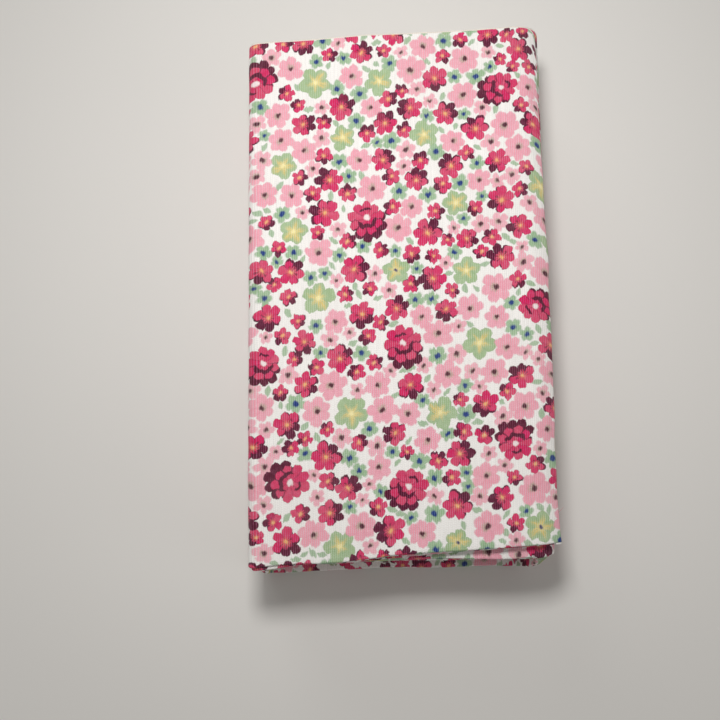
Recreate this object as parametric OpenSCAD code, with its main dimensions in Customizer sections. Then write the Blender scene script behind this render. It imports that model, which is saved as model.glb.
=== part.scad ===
// Miniature bolt of quilting cotton.
//
// A length of cotton, folded into a narrow strip, is wound flat around a
// corrugated board. The winding is a flat spiral: each turn runs over the top
// of the board, down the right side, back underneath and up the left side,
// one leaf further out than the turn inside it. The last leaf is the loose
// tail: it lies on top, bends at the left fold and ends at the right in the
// cloth's cut edge.
//
// Axes: X across the folds, Y along the strip, Z up.
// Origin: centre of the face the bolt rests on.

/* [Pack] */
// Width of the wound pack across its two folded sides
pack_w = 52; // [40:1:90]
// Length of the folded strip, from its front folds to its back edges
strip_l = 89; // [60:1:160]
// How far the turns stand proud of the tail leaf at the front
front_step = 3; // [0:0.5:6]

/* [Fabric] */
// Thickness of one leaf, which is the strip's folded plies pressed together
leaf_t = 1.65; // [1.2:0.05:2]
// Clearance between neighbouring leaves
leaf_gap = 0.05; // [0.03:0.01:0.08]
// Inside radius of the pressed folds on the left side
crease_r = 0.6; // [0.3:0.05:0.8]
// Inside radius of the softer folds on the right side
soft_fold_r = 2.5; // [1:0.1:2.5]
// Distance from the right side of the pack back to the tail's cut edge
tail_setback = 0.8; // [0:0.1:3]

/* [Board] */
// Thickness of the corrugated board at the core
board_t = 1.6; // [1.4:0.1:3]
// How much shorter than the strip the board is, at each end
board_inset = 3; // [0:0.5:8]
// Thickness of each of the board's flat liners
liner_t = 0.25; // [0.2:0.05:0.4]
// Thickness of the board's fluted middle layer
medium_t = 0.18; // [0.12:0.02:0.3]
// Number of flutes across the board
flutes = 12; // [6:1:16]

/* [Hidden] */
$fn = 64;

print_colour = [0.88, 0.62, 0.66];
kraft_colour = [0.66, 0.50, 0.33];
flute_colour = [0.58, 0.43, 0.28];

turns = 4;
tail = turns + 1;                  // the tail's place in the winding order
pitch = leaf_t + leaf_gap;         // from one leaf to the next
glue_gap = 0.03;                   // clearance between the board's layers
wave_steps = 8;                    // straight lines in one flute's outline

// Level of the board's middle above the resting face
board_z = rise(turns) + leaf_t;

// Half width of the space inside the outermost turn, less the leaves in it
core_half_w = pack_w / 2 - turns * pitch;

// The board ends where the innermost folds begin
board_w = 2 * (core_half_w - max(right_r(1), crease_r));
board_l = strip_l - 2 * board_inset;

// Half of the whole length, with the turns standing proud in front
half_l = (strip_l + front_step) / 2;

// Hinge line of the tail: the middle of the cloth at the top left fold
hinge_x = -pack_w / 2 + leaf_t / 2;
hinge_z = board_z + rise(tail) + leaf_t / 2;

// From the board's middle to the near face of turn i's top and bottom flats
function rise(i) = board_t / 2 + leaf_gap + (i - 1) * pitch;

// From the board's middle to the near face of turn i's side walls
function reach(i) = core_half_w + leaf_gap + (i - 1) * pitch;

// Inside radius of turn i's right folds, which its own height limits
function right_r(i) = min(soft_fold_r, rise(i) - leaf_gap);

// Where turn i's top flat takes over from the fold of the turn inside it
function top_start(i) = i == 1 ? -core_half_w : -reach(i - 1) + crease_r;

// Front end of leaf i along Y
function front(i) = i == tail ? -half_l + front_step : -half_l;

// Height of the flute's middle line at a place across the board
function wave(x, height) = height / 2 * cos(360 * x * flutes / board_w);

// Stands a flat outline, drawn in X and Z, along Y
module along_strip(y_front, length) {
    translate([0, y_front + length, 0])
        rotate([90, 0, 0])
            linear_extrude(length) children();
}

module bar(x0, z0, x1, z1) {
    translate([x0, z0]) square([x1 - x0, z1 - z0]);
}

// A quarter of a ring that bends a leaf; quadrant 0 is the upper right one
module bend(x, z, inside_r, quadrant) {
    translate([x, z]) rotate(90 * quadrant) intersection() {
        difference() {
            circle(inside_r + leaf_t);
            circle(inside_r);
        }
        square(inside_r + leaf_t);
    }
}

// Outline of turn i, from its top flat round to its left wall
module turn_outline(i) {
    right_x = reach(i);
    left_x = -reach(i);
    low_z = board_z - rise(i);
    high_z = board_z + rise(i);
    next_z = board_z + rise(i + 1);
    r = right_r(i);

    bar(top_start(i) + leaf_gap, high_z, right_x - r, high_z + leaf_t);
    bend(right_x - r, high_z - r, r, 0);
    bar(right_x, low_z + r, right_x + leaf_t, high_z - r);
    bend(right_x - r, low_z + r, r, 3);
    bar(left_x + crease_r, low_z - leaf_t, right_x - r, low_z);
    bend(left_x + crease_r, low_z + crease_r, crease_r, 2);
    if (i < turns) {
        bar(left_x - leaf_t, low_z + crease_r, left_x, next_z - crease_r);
        bend(left_x + crease_r, next_z - crease_r, crease_r, 1);
    } else {
        bar(left_x - leaf_t, low_z + crease_r, left_x, next_z - leaf_gap);
    }
}

module turn(i) {
    color(print_colour) along_strip(front(i), strip_l) turn_outline(i);
}

module turn_1() {
    turn(1);
}

module turn_2() {
    turn(2);
}

module turn_3() {
    turn(3);
}

module turn_4() {
    turn(4);
}

// The loose end: a flat leaf with a round bead where the cloth bends
module tail_leaf() {
    tail_end = pack_w / 2 - tail_setback;
    color(print_colour) along_strip(front(tail), strip_l) {
        translate([hinge_x, hinge_z]) circle(leaf_t / 2);
        bar(hinge_x, hinge_z - leaf_t / 2, tail_end, hinge_z + leaf_t / 2);
    }
}

module board_layer() {
    along_strip(-board_l / 2, board_l) children();
}

module core_liner_lower() {
    low_z = board_z - board_t / 2;
    color(kraft_colour) board_layer()
        bar(-board_w / 2, low_z, board_w / 2, low_z + liner_t);
}

module core_liner_upper() {
    high_z = board_z + board_t / 2;
    color(kraft_colour) board_layer()
        bar(-board_w / 2, high_z - liner_t, board_w / 2, high_z);
}

// The wavy layer between the liners
module core_flute() {
    wave_height = board_t - 2 * liner_t - 2 * glue_gap - medium_t;
    step = board_w / flutes / wave_steps;
    steps = flutes * wave_steps;
    xs = [for (k = [0:steps]) -board_w / 2 + k * step];
    upper = [for (x = xs) [x, wave(x, wave_height) + medium_t / 2]];
    lower = [for (k = [steps:-1:0])
        [xs[k], wave(xs[k], wave_height) - medium_t / 2]];
    color(flute_colour) board_layer()
        translate([0, board_z]) polygon(concat(upper, lower));
}

core_liner_lower();
core_flute();
core_liner_upper();
turn_1();
turn_2();
turn_3();
turn_4();
tail_leaf();
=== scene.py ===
"""A miniature bolt of printed quilting cotton, lying on a plain floor.

Lengths are in millimetres until a mesh is made, and everything is placed from
the frame's own boxes. The cloth is one long web: a strip of six zigzag plies,
wound flat around a board. It is drawn as a profile across the strip (Y and the
thickness), carried along the line that the winding follows in X and Z.
"""
import math

import bpy
import numpy as np
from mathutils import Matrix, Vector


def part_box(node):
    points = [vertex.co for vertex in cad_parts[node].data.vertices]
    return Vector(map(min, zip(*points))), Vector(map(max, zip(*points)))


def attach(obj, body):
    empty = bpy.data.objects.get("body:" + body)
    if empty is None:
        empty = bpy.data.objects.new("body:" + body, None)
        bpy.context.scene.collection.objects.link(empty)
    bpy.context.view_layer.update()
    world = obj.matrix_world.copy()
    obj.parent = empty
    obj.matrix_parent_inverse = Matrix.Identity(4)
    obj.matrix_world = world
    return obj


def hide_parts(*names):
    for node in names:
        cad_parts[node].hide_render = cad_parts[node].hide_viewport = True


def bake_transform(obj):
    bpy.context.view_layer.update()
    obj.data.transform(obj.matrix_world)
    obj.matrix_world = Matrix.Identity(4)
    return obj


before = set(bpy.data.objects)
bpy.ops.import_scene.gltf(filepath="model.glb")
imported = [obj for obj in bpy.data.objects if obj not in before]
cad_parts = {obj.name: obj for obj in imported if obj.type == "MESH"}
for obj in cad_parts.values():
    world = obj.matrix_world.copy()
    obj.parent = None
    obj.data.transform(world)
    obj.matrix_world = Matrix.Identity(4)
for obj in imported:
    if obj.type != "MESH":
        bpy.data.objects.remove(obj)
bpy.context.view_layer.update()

MM = 0.001
TAU = 2 * math.pi


# ---------------------------------------------------------------- the frame

def box_mm(node):
    """A CAD node's lowest and highest corners, in millimetres."""
    low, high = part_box(node)
    return np.array(low) / MM, np.array(high) / MM


X, Y, Z = 0, 1, 2
TURNS = sum(1 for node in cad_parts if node.startswith("turn_"))
TAIL = TURNS + 1

tail_low, tail_high = box_mm("tail_leaf")
turn_boxes = {i: box_mm(f"turn_{i}") for i in range(1, TURNS + 1)}
board_low, board_high = box_mm("core_liner_lower")[0], box_mm("core_liner_upper")[1]

LEAF_T = tail_high[Z] - tail_low[Z]
BOARD_Z = (board_low[Z] + board_high[Z]) / 2
BOARD_HALF_T = (board_high[Z] - board_low[Z]) / 2
TOP_Z = tail_high[Z]
PLIES = 6                 # the strip's folded plies, pressed together in one leaf
PLY_T = LEAF_T / PLIES

CREASE_R = 0.35           # inside radius of the pressed folds on the left
SOFT_R = 2.5              # inside radius of the rounder folds on the right
LEAF_GAP = 0.05           # clearance between neighbouring leaves
INNER_STEP = 1.2          # between stations on the hidden turns
OUTER_STEP = 0.8          # and on the cloth that is seen
EDGE_STEP = 0.2           # and close to the tail's cut edge
EDGE_RUN = 0.8            # which starts this far before the plies separate
CUT_BACK = 1.2            # the plies show separately this near the cut edge


def reach(i):
    """From the pack's middle to the inside of turn i's side walls."""
    return turn_boxes[i][1][X] - LEAF_T


def rise(i):
    """From the board's middle to the near face of leaf i's flats."""
    if i == TAIL:
        return tail_low[Z] - BOARD_Z
    return BOARD_Z - turn_boxes[i][0][Z] - LEAF_T


# ------------------------------------------------------------ gentle noise

def ripple(a, b, wavelength, seed):
    """Smooth noise between about -1 and 1: a few plane waves that cross."""
    rng = np.random.default_rng(seed)
    total = 0.0
    waves = 6
    for _ in range(waves):
        angle = rng.uniform(0, TAU)
        size = wavelength * rng.uniform(0.7, 1.6)
        phase = rng.uniform(0, TAU)
        along = a * math.cos(angle) + b * math.sin(angle)
        total = total + np.sin(TAU * along / size + phase)
    return total / math.sqrt(waves * 2)


def smooth(value, low, high):
    """0 below low, 1 above high, and smooth between them."""
    t = np.clip((value - low) / (high - low), 0, 1)
    return t * t * (3 - 2 * t)


# ------------------------------------------------- the winding's middle line

class Route:
    """The line that the middle of the cloth follows, in X and Z.

    Each station is (x, z, heading, distance along the web). The outside of
    the winding is on the left of the heading.
    """

    def __init__(self, x, z, travelled, heading=0.0):
        self.stations = []
        self.x, self.z, self.heading = x, z, heading
        self.travelled = travelled
        self.mark()

    def mark(self):
        self.stations.append((self.x, self.z, self.heading, self.travelled))

    def run(self, length, step):
        count = max(1, round(length / step))
        for _ in range(count):
            self.x += math.cos(self.heading) * length / count
            self.z += math.sin(self.heading) * length / count
            self.travelled += length / count
            self.mark()

    def bend(self, inside_r, steps=9):
        """A quarter turn clockwise about a centre on the inside."""
        radius = inside_r + LEAF_T / 2
        chord = 2 * radius * math.sin(math.pi / 4 / steps)
        half_step = math.pi / 4 / steps
        for _ in range(steps):
            self.heading -= half_step
            self.x += math.cos(self.heading) * chord
            self.z += math.sin(self.heading) * chord
            self.heading -= half_step
            self.travelled += 2 * half_step * radius
            self.mark()


def soft_r(i):
    """Inside radius of turn i's right folds, which its height limits."""
    return min(SOFT_R, rise(i) - LEAF_GAP)


def wall_and_underside(route, i, step):
    """Round turn i's right side and back under it to the left folds."""
    r = soft_r(i)
    route.bend(r)
    route.run(2 * (rise(i) - r), step)
    route.bend(r)
    route.run(2 * reach(i) - r - CREASE_R, step)
    route.bend(CREASE_R)


def left_wall(route, i, step):
    """Up turn i's left side and over onto the next leaf out."""
    route.run(rise(i) + rise(i + 1) - 2 * CREASE_R, step)
    route.bend(CREASE_R)


def web_routes():
    """The route of every piece of the web, from the inside out."""
    routes = {}
    start_x = board_low[X]
    level = BOARD_Z + rise(1) + LEAF_T / 2
    travelled = 0.0
    for i in range(1, TURNS + 1):
        step = OUTER_STEP if i == TURNS else INNER_STEP
        route = Route(start_x, level, travelled)
        route.run(reach(i) - soft_r(i) - start_x, step)
        wall_and_underside(route, i, step)
        if i < TURNS:
            left_wall(route, i, step)
        routes[i] = route
        start_x, level = route.x, route.z
        travelled = route.travelled
    last = Route(start_x, level, travelled, routes[TURNS].heading)
    left_wall(last, TURNS, OUTER_STEP)
    last.run(tail_high[X] - CUT_BACK - EDGE_RUN - last.x, OUTER_STEP)
    last.run(tail_high[X] - last.x, EDGE_STEP)
    routes[TAIL] = last
    return routes


# --------------------------------------------------- the strip's own profile

LOOPS = PLIES // 2        # each front fold is a loop of two plies
NOSE_R = PLY_T
NOSE_STEPS = 6
GROOVE = 0.3              # depth of the gap between two folds
FACE_STEP = 1.0           # between points along the strip
FINE_END = 7.0            # hidden faces have close points only this near an end
BEVEL = 0.25              # the strip's faces stop this far before the cut edges
ROUND_OFF = 0.04          # and a cut edge's corners are taken off by this
PLY_PLAY = 0.02           # a separate ply is thinner than its place by this, each side
PLY_INSET = 0.35          # and ends this far inside the strip's folds


class Profile:
    """The strip cut across: points round its plies, in order.

    share says where a point is between the front (0) and the back (1) of the
    strip, along adds millimetres to that, and n is its place through the
    thickness. loop names the fold or ply whose own waviness it follows. bare
    says if the face after a point shows the cloth's unprinted side.
    """

    def __init__(self):
        self.share, self.along, self.n = [], [], []
        self.loop, self.bare = [], []

    def add(self, share, along, n, loop=-1, bare=False):
        self.share.append(share)
        self.along.append(along)
        self.n.append(n)
        self.loop.append(loop)
        self.bare.append(bare)

    def nose(self, share, centre_n, facing, loop, bare):
        """A rounded fold; facing is 1 at the front and -1 at the back."""
        for k in range(NOSE_STEPS + 1):
            angle = math.pi / 2 - math.pi * k / NOSE_STEPS
            along = facing * NOSE_R * (1 - math.cos(angle))
            n = centre_n + facing * NOSE_R * math.sin(angle)
            self.add(share, along, n, loop, bare)

    def arrays(self):
        return (np.array(self.share), np.array(self.along), np.array(self.n),
                np.array(self.loop), np.array(self.bare))


STRIP_L = tail_high[Y] - tail_low[Y]


def face_shares(fine):
    """Where the points of a flat face lie between front and back."""
    if fine:
        return np.linspace(0, 1, round(STRIP_L / FACE_STEP) + 1)[1:-1]
    near = np.arange(FACE_STEP, FINE_END, FACE_STEP) / STRIP_L
    middle = np.linspace(FINE_END / STRIP_L, 1 - FINE_END / STRIP_L, 8)
    return np.concatenate([near, middle, 1 - near[::-1]])


def strip_profile(outer_fine, inner_fine):
    """Outer face, front folds, inner face, then back folds and cut edges."""
    p = Profile()
    half = LEAF_T / 2
    p.add(1.0, -BEVEL, half, 6, False)
    for share in face_shares(outer_fine)[::-1]:
        p.add(share, 0.0, half)
    for j in range(LOOPS):
        p.nose(0.0, half - NOSE_R * (2 * j + 1), 1, j, False)
        if j < LOOPS - 1:
            p.add(0.0, NOSE_R + GROOVE, half - NOSE_R * (2 * j + 2), j, False)
    for share in face_shares(inner_fine):
        p.add(share, 0.0, -half)
    cut_edge(p, -half, 3)
    p.add(1.0, -BEVEL, -half + PLY_T, 3, True)
    p.nose(1.0, -half + 2 * NOSE_R, -1, 4, True)
    p.add(1.0, -NOSE_R - GROOVE, 0.0, 4, True)
    p.nose(1.0, half - 2 * NOSE_R, -1, 5, True)
    cut_edge(p, half - PLY_T, 6)
    return p


def ply_profile(place):
    """One ply of the strip by itself; place 0 is the outermost."""
    p = Profile()
    high = LEAF_T / 2 - place * PLY_T - PLY_PLAY
    low = high - PLY_T + 2 * PLY_PLAY
    shares = np.linspace(0, 1, round(STRIP_L / FACE_STEP) + 1)
    for share in shares[::-1]:
        p.add(share, PLY_INSET * (1 - 2 * share), high, place, place % 2 == 1)
    for share in shares:
        p.add(share, PLY_INSET * (1 - 2 * share), low, place, place % 2 == 0)
    return p


def cut_edge(p, low_n, loop):
    """The square raw edge of one ply at the back, from its lower side up."""
    high_n = low_n + PLY_T
    p.add(1.0, -BEVEL, low_n, loop, True)
    p.add(1.0, -ROUND_OFF, low_n + ROUND_OFF / 4, loop, True)
    p.add(1.0, 0.0, low_n + ROUND_OFF, loop, True)
    p.add(1.0, 0.0, high_n - ROUND_OFF, loop, True)
    p.add(1.0, -ROUND_OFF, high_n - ROUND_OFF / 4, loop, True)


# ------------------------------------------------------- how the cloth lies

# the whole pack
FRONT_SWELL = 0.55        # the pack stands higher at its folds ...
BACK_SINK = 0.55          # ... and lower at its back
PILLOW = 0.16             # height of the top's wide, soft hollows
PUCKER = 0.07             # and of its narrow ones
RIGHT_SIDE = (17, 26)     # X over which the right fold's own moves come in
LEFT_SIDE = (19, 26)      # and -X for the left fold's
RIGHT_FALL = 0.3          # how far the top falls towards the right fold
LEFT_FALL = 0.2           # and towards the left
RIGHT_BULGE = 0.13        # how unevenly the right side stands out
LEFT_BULGE = 0.08         # and the left
SIDE_PUCKER = 0.05        # and both, finely
SIDES = (14, 25)          # distance from the middle over which these come in
UNDER_LIFT = 0.05         # how far the underside lifts, unevenly
END_WAVER = 0.12          # how far a leaf's ends waver

# the front folds and back edges of the turns
TOP_STAND = 0.9           # how far they stand out in front of the tail, on top
INNER_STAND = 1.6         # and lower down
BOTTOM_STAND = 4.1        # and the outermost turn's underside
LOWER = (3.5, 14.0)       # depth below the top over which that comes in
BOTTOM_SKEW = 0.02        # slope of the lower levels' fronts across X
FRONT_DRAW = -0.1         # how far the turns narrow at the front, on top ...
LOW_DRAW = 3.2            # ... and how much more than that lower down
NARROWING = (34, 47)      # -Y over which that comes in
SIDE_DRAW = 0.25          # how far the right side is drawn in from end to end
BACK_LEAD = 0.7           # how far the strip's back stands out on top
BACK_LEAN = 0.16          # and draws in for each mm further down
BACK_SKEW = 0.034         # and slopes across X

# the loose tail
LOOSE = (1.0, 4.0)        # depth over which its front leaves the turns' fronts
TAIL_SKEW = 0.072         # slope of its front across X
TAIL_LEAD = -0.37         # and how far that front stands out
TAIL_BOW = 0.35           # and how far it bows inwards in the middle
CORNER_R = 2.3            # its far corner is rounded
CORNER_DEPTH = 0.8        # by this share of a full round
CORNER_PEEP = 1.2         # and the turn below shows past it by this
PEEP_WIDE = (19, 24.5)    # X over which that comes in
PEEP_DEEP = (4.0, 12.0)   # and depth over which it goes out again
SHOULDER_R = 5.8          # the tail follows the round of the fold below
SHOULDER_X = 21.3         # from this X
SHOULDER_SHARE = 0.85     # for at most this share of the radius
TAIL_EDGE = 9             # width of the band by the cut edge with its own moves
TAIL_REACH = 0.1          # how far the cut edge reaches over the shoulder
TAIL_DRAW = 0.5           # how far it is cut away from that at the back
AT_BACK = (0, 44)         # Y over which that comes in
TAIL_FLARE = 0.55         # how far the front corner stands out
AT_FRONT = (34, 45)       # -Y over which that comes in
EDGE_WAVER = 0.1          # how far the cut edge wavers


def strip_ends(stations, number):
    """Y of the strip's front and back at each station."""
    x, z, _, travelled = stations.T
    depth = TOP_Z - z
    lowest = BOTTOM_STAND if number >= TURNS else INNER_STAND
    stand = TOP_STAND + (lowest - TOP_STAND) * smooth(depth, *LOWER)
    waver = END_WAVER * ripple(travelled, 0 * travelled, 23.0, 5)
    level = 1 - depth / TOP_Z
    front = tail_low[Y] - stand + BOTTOM_SKEW * x * (1 - level)
    back = tail_high[Y] + BACK_LEAD - BACK_LEAN * depth + BACK_SKEW * x * level
    if number == TURNS:
        peep = CORNER_PEEP * smooth(x, *PEEP_WIDE)
        back = back + peep * (1 - smooth(depth, *PEEP_DEEP))
    if number == TAIL:
        loose = 1 - smooth(depth, *LOOSE)
        bow = TAIL_BOW * (1 - (x / tail_high[X]) ** 2)
        askew = tail_low[Y] + TAIL_LEAD + TAIL_SKEW * x + bow
        front = front * (1 - loose) + askew * loose
        corner = np.clip((x - tail_high[X]) / CORNER_R + 1, 0, 1)
        back = back - CORNER_R * (1 - np.sqrt(1 - corner ** 2)) * CORNER_DEPTH
    return front + waver, back + 0.5 * waver


def settle(points, is_tail):
    """Moves the stacked leaves together, as a soft pack lies under its weight."""
    x, y, z = points[:, 0].copy(), points[:, 1].copy(), points[:, 2].copy()
    top = BOARD_Z + BOARD_HALF_T
    low = BOARD_Z - BOARD_HALF_T
    up = np.clip((z - top) / (TOP_Z - top), 0, 1.3)
    down = np.clip((low - z) / low, 0, 1.3)
    half_l = (tail_high[Y] - tail_low[Y]) / 2
    along = (y - (tail_high[Y] + tail_low[Y]) / 2) / half_l
    slope = np.where(along < 0, -FRONT_SWELL * along, -BACK_SINK * along)
    pillow = PILLOW * ripple(x, y, 34.0, 11) + PUCKER * ripple(x, y, 13.0, 12)
    right = smooth(x, *RIGHT_SIDE)
    left = smooth(-x, *LEFT_SIDE)
    z += up * (slope + pillow - RIGHT_FALL * right - LEFT_FALL * left)
    z += down * UNDER_LIFT * (1 + ripple(x, y, 11.0, 13))
    if is_tail:
        over = np.clip(x - SHOULDER_X, 0, SHOULDER_R * SHOULDER_SHARE)
        z -= SHOULDER_R - np.sqrt(SHOULDER_R ** 2 - over ** 2)
        loose_edge = smooth(x, tail_high[X] - TAIL_EDGE, tail_high[X])
        x += loose_edge * (TAIL_REACH - TAIL_DRAW * smooth(y, *AT_BACK))
        x += loose_edge * TAIL_FLARE * smooth(-y, *AT_FRONT)
        x += loose_edge * EDGE_WAVER * ripple(y, 0 * y, 9.0, 17)
    else:
        narrow = FRONT_DRAW + LOW_DRAW * (1 - z / TOP_Z)
        x -= right * (SIDE_DRAW + narrow * smooth(-y, *NARROWING))
    side = smooth(np.abs(x), *SIDES) * np.sign(x)
    bulge = RIGHT_BULGE * ripple(y, z, 26.0, 14) * right
    bulge = bulge + LEFT_BULGE * ripple(y, z, 30.0, 15) * left
    x += side * (bulge + SIDE_PUCKER * ripple(y, z, 6.0, 16))
    return np.stack([x, y, z], axis=1)


# ------------------------------------------------------------ the print

REPEAT = np.array([84.0, 92.0])      # the print repeats like this, in mm

# name, how many in one repeat, least and greatest radius, order of printing
MOTIFS = [
    ("rose", 12, 3.6, 4.0, 7),
    ("star_flower", 30, 2.5, 3.2, 2),
    ("crimson_flower", 84, 2.2, 2.9, 6),
    ("pink_flower", 88, 2.1, 3.0, 3),
    ("crimson_bud", 124, 1.4, 1.9, 5),
    ("pink_bud", 108, 1.3, 1.95, 4),
    ("green_flower", 128, 1.2, 1.9, 1),
    ("leaf", 160, 0.75, 1.05, 0),
]
PRINT_ORDER = np.array([row[4] for row in MOTIFS])
TRIES = 90                # places tried for each motif; the roomiest is taken
PACKING_ROUNDS = 90
NUDGE = 0.45              # the part of an overlap that one round takes away
CLOSENESS = 0.84          # how near motifs come, as a share of touching
NEAREST = 4               # how many motifs can show on one face
BATCH = 4000              # faces looked at together


def toroidal(delta):
    """The shortest way from one motif to another, across the repeat's edge."""
    return delta - REPEAT * np.round(delta / REPEAT)


def scatter_motifs():
    """Motifs spread over one repeat, largest first, then nudged apart."""
    rng = np.random.default_rng(20)
    kinds, radii, places = [], [], []
    for kind, (_, count, low, high, _) in enumerate(MOTIFS):
        for _ in range(count):
            radius = rng.uniform(low, high)
            tries = rng.uniform(0, 1, (TRIES, 2)) * REPEAT
            if places:
                gap = toroidal(tries[:, None, :] - np.array(places)[None, :, :])
                room = np.linalg.norm(gap, axis=2) - np.array(radii)[None, :]
                best = tries[np.argmax(room.min(axis=1))]
            else:
                best = tries[0]
            kinds.append(kind)
            radii.append(radius)
            places.append(best)
    places, radii = np.array(places), np.array(radii)
    want = (radii[:, None] + radii[None, :]) * CLOSENESS
    share = radii[None, :] / (radii[:, None] + radii[None, :])
    for _ in range(PACKING_ROUNDS):
        gap = toroidal(places[:, None, :] - places[None, :, :])
        apart = np.linalg.norm(gap, axis=2) + 1e-6
        push = np.clip(want - apart, 0, None) * share
        np.fill_diagonal(push, 0)
        away = gap / apart[:, :, None] * push[:, :, None]
        places = places + NUDGE * away.sum(axis=1)
    turns = rng.uniform(0, TAU, len(radii))
    seeds = rng.uniform(0, 100, len(radii))
    return places % REPEAT, radii, np.array(kinds), turns, seeds


PLACES, RADII, KINDS, TURNED, SEEDS = scatter_motifs()
LAYER = PRINT_ORDER[KINDS] * len(KINDS) + np.arange(len(KINDS))


def print_motifs(mesh, face_uv):
    """Gives each face the motifs that can reach it, for the shader to draw."""
    count = len(face_uv)
    picked = np.zeros((count, NEAREST), int)
    for first in range(0, count, BATCH):
        part = face_uv[first:first + BATCH]
        gap = toroidal(part[:, None, :] - PLACES[None, :, :])
        depth = np.linalg.norm(gap, axis=2) - RADII[None, :]
        near = np.argpartition(depth, NEAREST, axis=1)[:, :NEAREST]
        order = np.argsort(LAYER[near], axis=1)
        picked[first:first + BATCH] = np.take_along_axis(near, order, axis=1)
    for k in range(NEAREST):
        motif = picked[:, k]
        gap = toroidal(face_uv - PLACES[motif])
        centre = face_uv - gap
        place = np.column_stack([centre, RADII[motif]])
        style = np.column_stack([KINDS[motif], TURNED[motif], SEEDS[motif]])
        for name, values in ((f"motif_{k}_place", place), (f"motif_{k}_style", style)):
            layer = mesh.attributes.new(name, "FLOAT_VECTOR", "FACE")
            layer.data.foreach_set("vector", values.astype(np.float32).ravel())


# ------------------------------------------------------- building the cloth

LOOP_WANDER = 0.16        # how far each fold's front wanders in and out
LOOP_FRET = 0.05          # and finely
LOOP_STAGGER = 0.22       # how unevenly the folds are stacked
LAST_PLY = 0.9            # the tail's thin end is its top ply, of this many plies
THINNED = 0.97            # and the rest of the leaf is pressed flat by this share


def web_piece(name, stations, profile, number, one_ply_end=False):
    """One length of the wound strip as a closed mesh."""
    is_tail = number == TAIL
    stations = np.array(stations)
    share, along, n, loop, bare = profile.arrays()
    rows, columns = len(stations), len(share)
    front, back = strip_ends(stations, number)
    x, z, heading, travelled = stations.T

    wobble = np.zeros((rows, columns))
    for k in range(loop.max() + 1):
        offset = LOOP_WANDER * ripple(travelled, 0 * travelled + 40 * k, 15.0, 30 + k)
        offset = offset + LOOP_FRET * ripple(travelled, 0 * travelled, 4.0, 50 + k)
        offset = offset + LOOP_STAGGER * math.sin(2.3 * k + 1)
        wobble[:, loop == k] = offset[:, None]

    y = front[:, None] * (1 - share) + back[:, None] * share + along + wobble
    depth = np.broadcast_to(n, (rows, columns)).copy()
    if one_ply_end:
        edge = tail_high[X] - x
        thin = THINNED * (1 - smooth(edge, CUT_BACK - EDGE_STEP, CUT_BACK)[:, None])
        rest = depth - (LEAF_T / 2 - LAST_PLY * PLY_T)
        depth = np.where(rest < 0, depth - rest * thin, depth)
    px = x[:, None] - np.sin(heading)[:, None] * depth
    pz = z[:, None] + np.cos(heading)[:, None] * depth
    points = np.stack([px, y, pz], axis=2).reshape(-1, 3)
    points = settle(points, is_tail)

    step = np.hypot(np.diff(y[0]), np.diff(n))
    across = np.concatenate([[0], np.cumsum(step)])
    uv = np.zeros((rows, columns, 3))
    uv[:, :, 0] = travelled[:, None]
    uv[:, :, 1] = across[None, :]

    faces, face_bare, face_uv = [], [], []
    for r in range(rows - 1):
        for c in range(columns):
            d = (c + 1) % columns
            faces.append((r * columns + c, r * columns + d,
                          (r + 1) * columns + d, (r + 1) * columns + c))
            face_bare.append(float(bare[c]))
            face_uv.append(((travelled[r] + travelled[r + 1]) / 2,
                            (across[c] + across[d]) / 2))
    first_ring = tuple(range(columns))[::-1]
    last_ring = tuple((rows - 1) * columns + c for c in range(columns))
    for ring, r in ((first_ring, 0), (last_ring, rows - 1)):
        faces.append(ring)
        face_bare.append(1.0)
        face_uv.append((travelled[r], 0.0))

    mesh = bpy.data.meshes.new(name)
    mesh.from_pydata((points * MM).tolist(), [], faces)
    mesh.update()
    dress(mesh, uv.reshape(-1, 3), np.array(face_uv), np.array(face_bare))
    piece = bpy.data.objects.new(name, mesh)
    bpy.context.scene.collection.objects.link(piece)
    return piece


def dress(mesh, uv, face_uv, face_bare):
    """Stores what the cloth's shader reads, and the cloth's material."""
    layer = mesh.attributes.new("cloth_mm", "FLOAT_VECTOR", "POINT")
    layer.data.foreach_set("vector", uv.astype(np.float32).ravel())
    layer = mesh.attributes.new("bare", "FLOAT", "FACE")
    layer.data.foreach_set("value", face_bare.astype(np.float32))
    print_motifs(mesh, face_uv)
    mesh.polygons.foreach_set("use_smooth", [True] * len(mesh.polygons))
    mesh.materials.append(COTTON)


# ------------------------------------------------------------ shader sums

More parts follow.
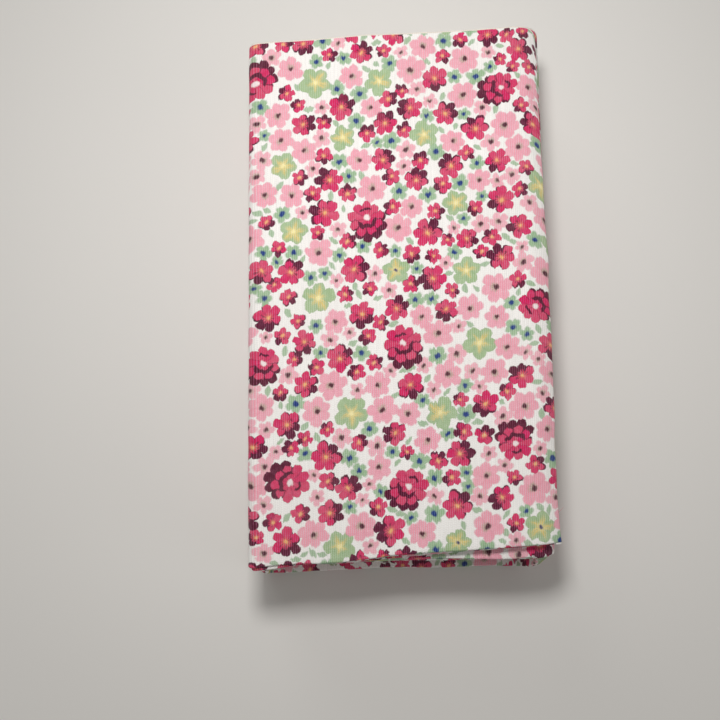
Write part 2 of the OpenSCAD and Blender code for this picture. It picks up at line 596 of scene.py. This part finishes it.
class Flow:
    """A number passing through shader nodes, so sums can be written plainly."""

    def __init__(self, tree, socket):
        self.tree, self.socket = tree, socket

    def math(self, operation, other=None, third=None, swap=False):
        node = self.tree.nodes.new("ShaderNodeMath")
        node.operation = operation
        values = [self, other] if not swap else [other, self]
        if third is not None:
            values.append(third)
        for k, value in enumerate(values):
            plug(self.tree, node.inputs[k], value)
        return Flow(self.tree, node.outputs[0])

    def __add__(self, other):
        return self.math("ADD", other)

    __radd__ = __add__

    def __sub__(self, other):
        return self.math("SUBTRACT", other)

    def __rsub__(self, other):
        return self.math("SUBTRACT", other, swap=True)

    def __mul__(self, other):
        return self.math("MULTIPLY", other)

    __rmul__ = __mul__

    def __truediv__(self, other):
        return self.math("DIVIDE", other)

    def __rtruediv__(self, other):
        return self.math("DIVIDE", other, swap=True)

    def cos(self):
        return self.math("COSINE")

    def sin(self):
        return self.math("SINE")

    def floor(self):
        return self.math("FLOOR")

    def fraction(self):
        return self.math("FRACT")

    def abs(self):
        return self.math("ABSOLUTE")

    def root(self):
        return self.math("MAXIMUM", 0.0).math("SQRT")

    def step(self, low, high):
        """0 below low, 1 above high, and smooth between them."""
        node = self.tree.nodes.new("ShaderNodeMapRange")
        node.interpolation_type = "SMOOTHSTEP"
        plug(self.tree, node.inputs["Value"], self)
        plug(self.tree, node.inputs["From Min"], low)
        plug(self.tree, node.inputs["From Max"], high)
        return Flow(self.tree, node.outputs[0])


def plug(tree, target, value):
    """Links a flow or socket into a socket, or sets its plain value."""
    if value is None:
        return
    if isinstance(value, Flow):
        value = value.socket
    if isinstance(value, bpy.types.NodeSocket):
        tree.links.new(value, target)
    else:
        target.default_value = value


def attribute(tree, name, output="Vector"):
    node = tree.nodes.new("ShaderNodeAttribute")
    node.attribute_name = name
    return node.outputs[output]


def parts(tree, vector):
    node = tree.nodes.new("ShaderNodeSeparateXYZ")
    plug(tree, node.inputs[0], vector)
    return [Flow(tree, out) for out in node.outputs]


def noise(tree, vector, scale, detail=2.0, output=0):
    node = tree.nodes.new("ShaderNodeTexNoise")
    plug(tree, node.inputs["Vector"], vector)
    node.inputs["Scale"].default_value = scale
    node.inputs["Detail"].default_value = detail
    out = node.outputs[output]
    return Flow(tree, out) if output == 0 else out


def lightness(tree, socket):
    """How light a colour is, from 0 to 1."""
    node = tree.nodes.new("ShaderNodeRGBToBW")
    tree.links.new(socket, node.inputs[0])
    return Flow(tree, node.outputs[0])


def mix(tree, factor, below, above, blend="MIX"):
    node = tree.nodes.new("ShaderNodeMix")
    node.data_type = "RGBA"
    node.blend_type = blend
    plug(tree, node.inputs["Factor"], factor)
    plug(tree, node.inputs["A"], colour(below))
    plug(tree, node.inputs["B"], colour(above))
    return node.outputs["Result"]


def colour(value):
    """A hex colour such as "ee9944" as a linear shader colour, or a socket."""
    if not isinstance(value, str):
        return value
    channels = [int(value[k:k + 2], 16) / 255 for k in (0, 2, 4)]
    linear = [c / 12.92 if c < 0.04045 else ((c + 0.055) / 1.055) ** 2.4
              for c in channels]
    return (*linear, 1.0)


def by_kind(tree, kind, values):
    """The value that a motif's kind picks, as a stepped colour ramp."""
    ramp_node = tree.nodes.new("ShaderNodeValToRGB")
    ramp = ramp_node.color_ramp
    ramp.interpolation = "CONSTANT"
    while len(ramp.elements) < len(values):
        ramp.elements.new(1.0)
    for k, value in enumerate(values):
        ramp.elements[k].position = k / len(values)
        if isinstance(value, str):
            ramp.elements[k].color = colour(value)
        else:
            ramp.elements[k].color = (value, value, value, 1.0)
    plug(tree, ramp_node.inputs[0], (kind + 0.5) / len(values))
    if isinstance(values[0], str):
        return ramp_node.outputs[0]
    channels = tree.nodes.new("ShaderNodeSeparateColor")
    tree.links.new(ramp_node.outputs[0], channels.inputs[0])
    return Flow(tree, channels.outputs[0])


# ----------------------------------------------------- drawing one motif

# One value for each kind in MOTIFS, in order. Lengths are shares of the radius.
INK = {
    "petal": "d01a53 9bb786 d21c55 f09fb0 d42257 f1a9b7 94b68c 9fba97".split(),
    "shade": "50152a 7f9e73 54172e e08a9b 581930 e496a4 7ca07c 8aa887".split(),
    "halo": "50152a dfc474 54172e 93a07e 581930 9aa586 7da38c 8aa887".split(),
    "centre": "f7e6e6 f6e9a4 f2b070 4c2630 f2b076 4e2a34 1d3375 8aa887".split(),
}
SHARE = {
    "petals": [0.9, 0.5, 0.6, 0.6, 0.5, 0.5, 0.5, 0.2],       # tenths
    "lobe": [0.27, 0.41, 0.33, 0.36, 0.38, 0.38, 0.39, 0.42],
    "behind": [0.21, 0.0, 0.07, 0.0, 0.07, 0.0, 0.0, 0.0],
    "halo": [0.0, 0.0, 0.0, 0.36, 0.0, 0.45, 0.5, 0.0],
    "centre": [0.13, 0.13, 0.12, 0.17, 0.16, 0.24, 0.30, 0.0],
    "ring": [1.0, 0.0, 0.0, 0.0, 0.0, 0.0, 0.0, 0.0],
    "star": [0.0, 1.0, 0.0, 0.0, 0.0, 0.0, 0.0, 0.0],
    "dark": [0.0, 0.0, 1.0, 0.0, 1.0, 0.0, 0.0, 0.0],
    "narrow": [0.0, 0.0, 0.0, 0.0, 0.0, 0.0, 0.0, 1.0],
}
INK_EDGE = 0.11           # how softly an ink ends, in mm
SOFTER = 2.2              # how much softer than that the pale inks end
PETAL_VARIETY = 0.18      # how much smaller the smallest petal is


def vector(tree, x, y):
    node = tree.nodes.new("ShaderNodeCombineXYZ")
    plug(tree, node.inputs[0], x)
    plug(tree, node.inputs[1], y)
    return node.outputs[0]


def luck(tree, x, y):
    """Three even random numbers that belong to the pair x and y."""
    node = tree.nodes.new("ShaderNodeTexWhiteNoise")
    node.noise_dimensions = "2D"
    tree.links.new(vector(tree, x, y), node.inputs["Vector"])
    return parts(tree, node.outputs["Color"])


class Blossom:
    """Round petals about a centre, as sums of the place on the cloth."""

    def __init__(self, tree, du, dv, radius, petals, lobe, turned, seed, edge):
        self.distance = (du * du + dv * dv).root()
        self.angle = dv.math("ARCTAN2", du) + turned + TAU
        place = self.angle * petals / TAU
        whole = place.floor()
        self.axis = (whole + 0.5) * TAU / petals
        petal = (whole - (place / petals).floor() * petals).math("ROUND")
        self.off_axis = (place.fraction() - 0.5).abs() * 2.0
        swing = (place.fraction() - 0.5) * TAU / petals
        self.chance, self.tint, _ = luck(tree, petal, seed)
        outer = radius * (1.0 - PETAL_VARIETY * self.chance)
        round_r = outer * lobe
        out = outer - round_r
        side = out * swing.sin()
        self.outline = out * swing.cos() + (round_r * round_r - side * side).root()
        self.cover = (self.outline - self.distance).step(edge * -1.0, edge)
        self.inside = self.distance / self.outline


def motif_group():
    """Draws one motif where the cloth is within its outline."""
    tree = bpy.data.node_groups.new("print_motif", "ShaderNodeTree")
    for name in ("Cloth", "Place", "Style"):
        tree.interface.new_socket(name, in_out="INPUT", socket_type="NodeSocketVector")
    tree.interface.new_socket("After", in_out="INPUT", socket_type="NodeSocketFloat")
    tree.interface.new_socket("Colour", in_out="OUTPUT", socket_type="NodeSocketColor")
    tree.interface.new_socket("Cover", in_out="OUTPUT", socket_type="NodeSocketFloat")
    source = tree.nodes.new("NodeGroupInput")
    sink = tree.nodes.new("NodeGroupOutput")

    u, v, _ = parts(tree, source.outputs["Cloth"])
    centre_u, centre_v, radius = parts(tree, source.outputs["Place"])
    kind, turned, seed = parts(tree, source.outputs["Style"])

    # waiting for the motif underneath keeps few values in hand at one time
    wait = Flow(tree, source.outputs["After"]) * 1e-6
    kind, u = kind + wait, u + wait
    number = {name: by_kind(tree, kind, row) for name, row in SHARE.items()}
    ink = {name: by_kind(tree, kind, row) for name, row in INK.items()}
    petals = (number["petals"] * 10.0).math("ROUND")

    # a second, darker flower peeps out behind, off to one side
    dark_u, dark_v = seed.cos(), seed.sin()
    shift = radius * number["behind"]
    du = u - centre_u + dark_u * shift * 0.5
    dv = v - centre_v + dark_v * shift * 0.5
    front_r = radius * (1.0 - number["behind"] * 0.6)
    edge = (number["halo"] * SOFTER + 1.0) * INK_EDGE
    front = Blossom(tree, du, dv, front_r, petals, number["lobe"], turned, seed, edge)
    rear = Blossom(tree, du - dark_u * shift * 1.5, dv - dark_v * shift * 1.5,
                   radius * (1.0 - number["behind"] * 0.5), petals, number["lobe"],
                   turned + number["ring"] * 0.35, seed + 7.0, edge)
    has_rear = number["behind"].math("GREATER_THAN", 0.01)

    # leaves are almonds: two arcs that meet in points
    leaf_x = du * turned.cos() + dv * turned.sin()
    leaf_y = dv * turned.cos() - du * turned.sin()
    arc = radius * 0.5 * (1.0 - (leaf_x / radius) * (leaf_x / radius)) - leaf_y.abs()
    almond = arc.step(-INK_EDGE * 1.3, INK_EDGE * 1.3)
    narrow = number["narrow"]
    front_cover = front.cover * (1.0 - narrow) + almond * narrow

    tone = mix(tree, front.tint * 0.05, ink["petal"], "ffffff")
    between = front.off_axis.step(0.62, 1.0) * front.inside.step(1.05, 0.35)
    tone = mix(tree, between * 0.45, tone, ink["shade"])

    # a crimson flower's petals on one side are dark, from halfway out
    petal_side = (front.axis - turned - seed).cos()
    dark = petal_side.step(0.68, 0.72) * front.inside.step(0.44, 0.56) * number["dark"]
    tone = mix(tree, dark, tone, ink["shade"])
    toward = (front.angle - turned - seed).cos()
    dash = front.off_axis.step(0.5, 0.25) * front.inside.step(0.58, 0.45)
    dash = dash * toward.step(-0.35, -0.1) * number["dark"] * 0.7
    tone = mix(tree, dash, tone, ink["shade"])

    # a rose has a broken dark ring inside, thickest on its dark side
    wavy = front_r * (0.46 + 0.03 * (front.angle * 6.0 + seed).cos())
    thick = toward.step(-0.15, 0.7) * 0.13 + toward.step(-0.72, -0.95) * 0.09
    ring = front_r * thick - (front.distance - wavy).abs()
    drawn = ring.step(-0.02, INK_EDGE * 1.5) * number["ring"]
    tone = mix(tree, drawn, tone, ink["shade"])
    petal_line = front.off_axis.step(0.72, 0.95) * front.inside.step(0.55, 0.68)
    petal_line = petal_line * toward.step(-0.9, 0.6) * number["ring"]
    tone = mix(tree, petal_line * 0.8, tone, ink["shade"])

    # round the centre: grey-green in pink flowers, yellow rays in star flowers
    streak = (front.angle * 13.0 + seed).cos() * 0.25 + 0.75
    halo_u, halo_v = du - dark_u * radius * 0.1, dv - dark_v * radius * 0.1
    halo_far = (halo_u * halo_u + halo_v * halo_v).root()
    halo = (1.0 - halo_far / (radius * (number["halo"] + 0.001))).step(0.0, 0.7)
    tone = mix(tree, halo * streak * 0.8, tone, ink["halo"])
    ray = radius * (0.42 + 0.4 * front.chance - 0.45 * front.off_axis) - front.distance
    tone = mix(tree, ray.step(-0.6, 0.8) * streak * number["star"], tone, ink["halo"])
    glow = (1.0 - front.distance / (radius * 0.4)).step(0.0, 0.9)
    tone = mix(tree, glow * number["dark"] * 0.45, tone, "f08a6a")
    tone = mix(tree, glow * number["star"] * 0.7, tone, "efdf96")

    middle = radius * number["centre"]
    soft_dot = (middle - front.distance).step(-0.16, 0.22)
    tone = mix(tree, soft_dot, tone, ink["centre"])
    dark_eye = number["star"] * seed.math("GREATER_THAN", 60.0)
    tone = mix(tree, soft_dot * dark_eye, tone, "4a4a62")

    tone = mix(tree, front_cover, ink["shade"], tone)
    tree.links.new(tone, sink.inputs["Colour"])
    plug(tree, sink.inputs["Cover"], front_cover.math("MAXIMUM", rear.cover * has_rear))
    return tree


# ------------------------------------------------------------- materials

THREAD = 0.33             # pitch of the cotton's threads, in mm
THREAD_SHIFT = 0.26       # how far ink differs from thread to thread, in mm
INK_WANDER = 0.55         # how far outlines wander, in mm
RELIEF = 0.05             # height of the threads, in mm
GROUND = "f8f5f1"
REVERSE = "eee6da"


def new_material(name):
    material = bpy.data.materials.new(name)
    material.use_nodes = True
    tree = material.node_tree
    return material, tree, tree.nodes["Principled BSDF"]


def scaled(tree, place, factors):
    """A place stretched or squeezed along each axis, for a noise to read."""
    node = tree.nodes.new("ShaderNodeVectorMath")
    node.operation = "MULTIPLY"
    tree.links.new(place, node.inputs[0])
    node.inputs[1].default_value = factors
    return node.outputs[0]


def raise_surface(tree, shader, height, strength, distance_mm):
    """Bumps a shader's surface by a height from about 0 to 1."""
    bump = tree.nodes.new("ShaderNodeBump")
    bump.inputs["Strength"].default_value = strength
    bump.inputs["Distance"].default_value = distance_mm * MM
    plug(tree, bump.inputs["Height"], height)
    tree.links.new(bump.outputs[0], shader.inputs["Normal"])


def cotton_material():
    """Printed quilting cotton: ground, motifs, threads and a soft nap."""
    material, tree, shader = new_material("printed_cotton")
    cloth = attribute(tree, "cloth_mm")
    u, v, _ = parts(tree, cloth)

    # inks wander a little from their outlines, as they do on real cloth
    wander = tree.nodes.new("ShaderNodeVectorMath")
    wander.operation = "MULTIPLY_ADD"
    tree.links.new(noise(tree, cloth, 0.9, 3.0, output=1), wander.inputs[0])
    wander.inputs[1].default_value = (INK_WANDER, INK_WANDER, 0.0)
    shifted = tree.nodes.new("ShaderNodeVectorMath")
    shifted.operation = "SUBTRACT"
    tree.links.new(cloth, shifted.inputs[0])
    shifted.inputs[1].default_value = (INK_WANDER / 2, INK_WANDER / 2, 0.0)
    tree.links.new(shifted.outputs[0], wander.inputs[2])

    # each thread takes the ink a little further up or down than the next
    shift_u, shift_v, _ = parts(tree, wander.outputs[0])
    thread_luck = luck(tree, (u / THREAD).floor(), 3.0)[0]
    shift_v = shift_v + (thread_luck - 0.5) * THREAD_SHIFT
    where = vector(tree, shift_u, shift_v)

    printed = colour(GROUND)
    group = motif_group()
    before = 0.0
    for k in range(NEAREST):
        node = tree.nodes.new("ShaderNodeGroup")
        node.node_tree = group
        tree.links.new(where, node.inputs["Cloth"])
        tree.links.new(attribute(tree, f"motif_{k}_place"), node.inputs["Place"])
        tree.links.new(attribute(tree, f"motif_{k}_style"), node.inputs["Style"])
        plug(tree, node.inputs["After"], before)
        before = node.outputs["Cover"]
        printed = mix(tree, node.outputs["Cover"], printed, node.outputs["Colour"])

    # ink lies thinner in the valleys between the ribs
    valley = (u * (TAU / THREAD)).cos().step(0.4, -0.8)
    patchy = noise(tree, cloth, 1.3, 2.0).step(0.25, 0.75) * 0.25 + 0.27
    thinner = tree.nodes.new("ShaderNodeGamma")
    tree.links.new(printed, thinner.inputs["Color"])
    plug(tree, thinner.inputs["Gamma"], 1.0 - valley * patchy)
    printed = thinner.outputs[0]

    # the unprinted side shows the inks only faintly
    bare = Flow(tree, attribute(tree, "bare", "Fac"))
    ghost = mix(tree, 0.86, printed, REVERSE)
    base = mix(tree, bare, printed, ghost)

    # plain weave: warp ribs along the strip, crossed by finer weft
    warp = (u * (TAU / THREAD)).cos()
    weft = (v * (TAU / (THREAD * 1.15)) + (u * (math.pi / THREAD)).cos() * 1.6).cos()
    slub = noise(tree, scaled(tree, cloth, (3.0, 0.16, 0.0)), 1.0, 3.0)
    height = warp * 0.8 + weft * 0.3 + slub * 1.2
    # painted shade and highlight of the threads' relief: the colour is darkened in the
    # gaps between the warp ribs, more where the print is inked, lightened on the ribs,
    # and darker or lighter along the slubs
    inked = 1.0 - lightness(tree, printed)
    relief = warp * (inked * 1.1 + 0.45) + weft * 0.2 + slub * 2.8 - 1.4
    shadow = relief * 0.085 + 0.95
    thread_shade = tree.nodes.new("ShaderNodeCombineColor")
    for k in range(3):
        plug(tree, thread_shade.inputs[k], shadow)
    base = mix(tree, 0.9, base, thread_shade.outputs[0], "MULTIPLY")
    stain = noise(tree, cloth, 0.06, 3.0).step(0.35, 0.75) * 0.05
    base = mix(tree, stain, base, "b9a89a")
    tree.links.new(base, shader.inputs["Base Color"])

    raise_surface(tree, shader, height, 0.55, RELIEF)
    plug(tree, shader.inputs["Roughness"], slub * 0.12 + 0.8)
    shader.inputs["Specular IOR Level"].default_value = 0.12
    shader.inputs["Sheen Weight"].default_value = 0.10
    shader.inputs["Sheen Roughness"].default_value = 0.45
    return material


def kraft_material(name, tint, darker):
    """Brown board: fibres, specks and a dry, slightly uneven surface."""
    material, tree, shader = new_material(name)
    place = tree.nodes.new("ShaderNodeTexCoord").outputs["Object"]
    fibre = noise(tree, scaled(tree, place, (2600.0, 500.0, 2600.0)), 1.0, 5.0)
    cloud = noise(tree, place, 90.0, 3.0)
    base = mix(tree, fibre.step(0.3, 0.75), darker, tint)
    base = mix(tree, cloud.step(0.4, 0.8) * 0.3, base, darker)
    tree.links.new(base, shader.inputs["Base Color"])
    raise_surface(tree, shader, fibre, 0.5, 0.06)
    plug(tree, shader.inputs["Roughness"], fibre * 0.15 + 0.8)
    return material


def thread_material():
    """A loose cotton yarn, cream with some of the print's pink."""
    material, tree, shader = new_material("cotton_thread")
    place = tree.nodes.new("ShaderNodeTexCoord").outputs["Object"]
    dyed = noise(tree, place, 260.0, 2.0).step(0.5, 0.62)
    base = mix(tree, dyed * 0.8, REVERSE, "e58fa0")
    tree.links.new(base, shader.inputs["Base Color"])
    raise_surface(tree, shader, noise(tree, place, 9000.0, 2.0), 0.4, 0.02)
    shader.inputs["Roughness"].default_value = 0.85
    return material


COTTON = cotton_material()
KRAFT_LINER = kraft_material("kraft_liner", "b08d62", "8f6f4a")
KRAFT_FLUTE = kraft_material("kraft_flute", "9a7850", "7a5d3d")

for node_name, material in (("core_liner_lower", KRAFT_LINER),
                            ("core_flute", KRAFT_FLUTE),
                            ("core_liner_upper", KRAFT_LINER)):
    board_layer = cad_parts[node_name]
    board_layer.data.materials.clear()
    board_layer.data.materials.append(material)


# ------------------------------------------------------------ the cloth

ROUTES = web_routes()

for i in range(1, TURNS + 1):
    outermost = i == TURNS
    turn_profile = strip_profile(outer_fine=outermost, inner_fine=False)
    piece = web_piece(f"cloth_turn_{i}", ROUTES[i].stations, turn_profile, i)
    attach(piece, "winding")
    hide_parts(f"turn_{i}")

BEND_BELOW = 4.0          # a span round the top left fold starts this far below it
BEND_PAST = 3.0           # and ends this far past it, on top; the sums below that use these go unused
tail_profile = strip_profile(outer_fine=True, inner_fine=True)
tail_cloth = web_piece("cloth_tail", ROUTES[TAIL].stations, tail_profile, TAIL,
                       one_ply_end=True)
fold_x = tail_low[X] + LEAF_T / 2
fold_z = TOP_Z - LEAF_T / 2
fold_x * MM
(fold_z - BEND_BELOW) * MM
(fold_x + BEND_PAST) * MM
fold_z * MM
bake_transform(tail_cloth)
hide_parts("tail_leaf")

PLY_TRIM = [0.0, 0.35, 0.15, 0.5, 0.25, 0.6]     # how unevenly the plies are cut
PLY_L = CUT_BACK + 1.2    # a ply strip's length, part of it inside the leaf
for place in range(1, PLIES):
    edge = Route(tail_high[X] - PLY_L, fold_z, ROUTES[TAIL].travelled - PLY_L)
    edge.run(PLY_L - PLY_TRIM[place], EDGE_STEP)
    ply = web_piece(f"cloth_tail_ply_{place}", edge.stations, ply_profile(place), TAIL)
    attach(ply, "tail")
    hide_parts("tail_leaf")

FRAY_THREADS = 16
FRAY_R = 0.055            # radius of one loose thread
FRAY_SIDES = 5


def frayed_edge():
    """Short loose threads along the tail's cut edge, as one mesh."""
    rng = np.random.default_rng(8)
    bends = np.linspace(0, 1, 7)
    sides = np.arange(FRAY_SIDES) * TAU / FRAY_SIDES
    points, faces = [], []
    for _ in range(FRAY_THREADS):
        y = rng.uniform(tail_low[Y] + 2, tail_high[Y] - 4)
        level = TOP_Z - PLY_T * (rng.integers(PLIES) + 0.5)
        length = rng.uniform(0.9, 2.0)
        lean = rng.uniform(-0.6, 0.6)
        curl = rng.uniform(-0.5, 0.5)
        droop = rng.uniform(0.0, 0.5)
        first = len(points)
        for t in bends:
            middle = np.array([tail_high[X] - 0.8 + length * t,
                               y + lean * length * t + curl * t * t,
                               level - droop * t * t])
            thin = FRAY_R * (1 - 0.6 * t)
            for side in sides:
                rim = np.array([0, math.cos(side), math.sin(side)])
                points.append(middle + thin * rim)
        for ring in range(len(bends) - 1):
            a = first + ring * FRAY_SIDES
            b = a + FRAY_SIDES
            for k in range(FRAY_SIDES):
                m = (k + 1) % FRAY_SIDES
                faces.append((a + k, a + m, b + m, b + k))
        faces.append(tuple(range(first, first + FRAY_SIDES))[::-1])
        faces.append(tuple(range(len(points) - FRAY_SIDES, len(points))))
    mesh = bpy.data.meshes.new("cloth_tail_fray")
    mesh.from_pydata((settle(np.array(points), True) * MM).tolist(), [], faces)
    mesh.polygons.foreach_set("use_smooth", [True] * len(mesh.polygons))
    mesh.materials.append(thread_material())
    threads = bpy.data.objects.new("cloth_tail_fray", mesh)
    bpy.context.scene.collection.objects.link(threads)
    return threads


fray = frayed_edge()
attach(fray, "tail")
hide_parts("tail_leaf")


# ------------------------------------------------------------ the studio

BACKDROP = "cecbc6"


def floor():
    size = 4.0
    corners = [(-size, -size, 0), (size, -size, 0), (size, size, 0), (-size, size, 0)]
    mesh = bpy.data.meshes.new("floor")
    mesh.from_pydata(corners, [], [(0, 1, 2, 3)])
    material, tree, shader = new_material("floor")
    shader.inputs["Base Color"].default_value = colour("e4e2de")
    shader.inputs["Roughness"].default_value = 0.8

    # far away the floor passes into the backdrop without a line
    place = tree.nodes.new("ShaderNodeNewGeometry").outputs["Position"]
    x, y, _ = parts(tree, place)
    far = (x * x + y * y).root().step(0.075, 0.24)
    seen = tree.nodes.new("ShaderNodeLightPath").outputs["Is Camera Ray"]
    haze = tree.nodes.new("ShaderNodeEmission")
    haze.inputs["Color"].default_value = colour(BACKDROP)
    either = tree.nodes.new("ShaderNodeMixShader")
    plug(tree, either.inputs[0], far * Flow(tree, seen))
    tree.links.new(shader.outputs[0], either.inputs[1])
    tree.links.new(haze.outputs[0], either.inputs[2])
    tree.links.new(either.outputs[0], tree.nodes["Material Output"].inputs["Surface"])
    mesh.materials.append(material)
    plane = bpy.data.objects.new("floor", mesh)
    bpy.context.scene.collection.objects.link(plane)


def lamp(name, kind, place, strength, tint):
    """A light that faces the pack from place."""
    light = bpy.data.lights.new(name, kind)
    light.energy = strength
    light.color = tint
    holder = bpy.data.objects.new(name, light)
    holder.location = place
    holder.rotation_mode = "QUATERNION"
    holder.rotation_quaternion = holder.location.to_track_quat("Z", "Y")
    bpy.context.scene.collection.objects.link(holder)
    return light


def lights():
    """A small key light close by, and two wide, weak fills."""
    key = lamp("key", "AREA", (-0.014, 0.045, 0.155), 0.163, (1.0, 0.985, 0.97))
    key.size = 0.035
    for name, place, strength in (("back_fill", (-0.4, 1.0, 0.4), 0.4),
                                  ("side_fill", (1.0, -0.25, 0.3), 0.3)):
        fill = lamp(name, "SUN", place, strength, (1.0, 0.99, 0.97))
        fill.angle = math.radians(30.0)


def camera():
    """Nearly overhead and close, a little towards the front."""
    data = bpy.data.cameras.new("camera")
    data.lens = 40.0
    data.sensor_width = 36.0
    data.clip_start = 0.005
    eye = bpy.data.objects.new("camera", data)
    eye.location = (-0.002, -0.0249, 0.150)
    eye.rotation_euler = [math.radians(a) for a in (6.03, 2.2, -0.88)]
    bpy.context.scene.collection.objects.link(eye)
    bpy.context.scene.camera = eye


def surroundings():
    world = bpy.data.worlds.new("studio")
    world.use_nodes = True
    tree = world.node_tree
    background = tree.nodes["Background"]
    background.inputs["Color"].default_value = (1.0, 0.98, 0.95, 1.0)
    background.inputs["Strength"].default_value = 0.25
    backdrop = tree.nodes.new("ShaderNodeBackground")
    backdrop.inputs["Color"].default_value = colour(BACKDROP)
    seen = tree.nodes.new("ShaderNodeLightPath")
    either = tree.nodes.new("ShaderNodeMixShader")
    tree.links.new(seen.outputs["Is Camera Ray"], either.inputs[0])
    tree.links.new(background.outputs[0], either.inputs[1])
    tree.links.new(backdrop.outputs[0], either.inputs[2])
    tree.links.new(either.outputs[0], tree.nodes["World Output"].inputs["Surface"])
    bpy.context.scene.world = world
    bpy.context.scene.view_settings.view_transform = "Standard"


floor()
surroundings()
lights()
camera()
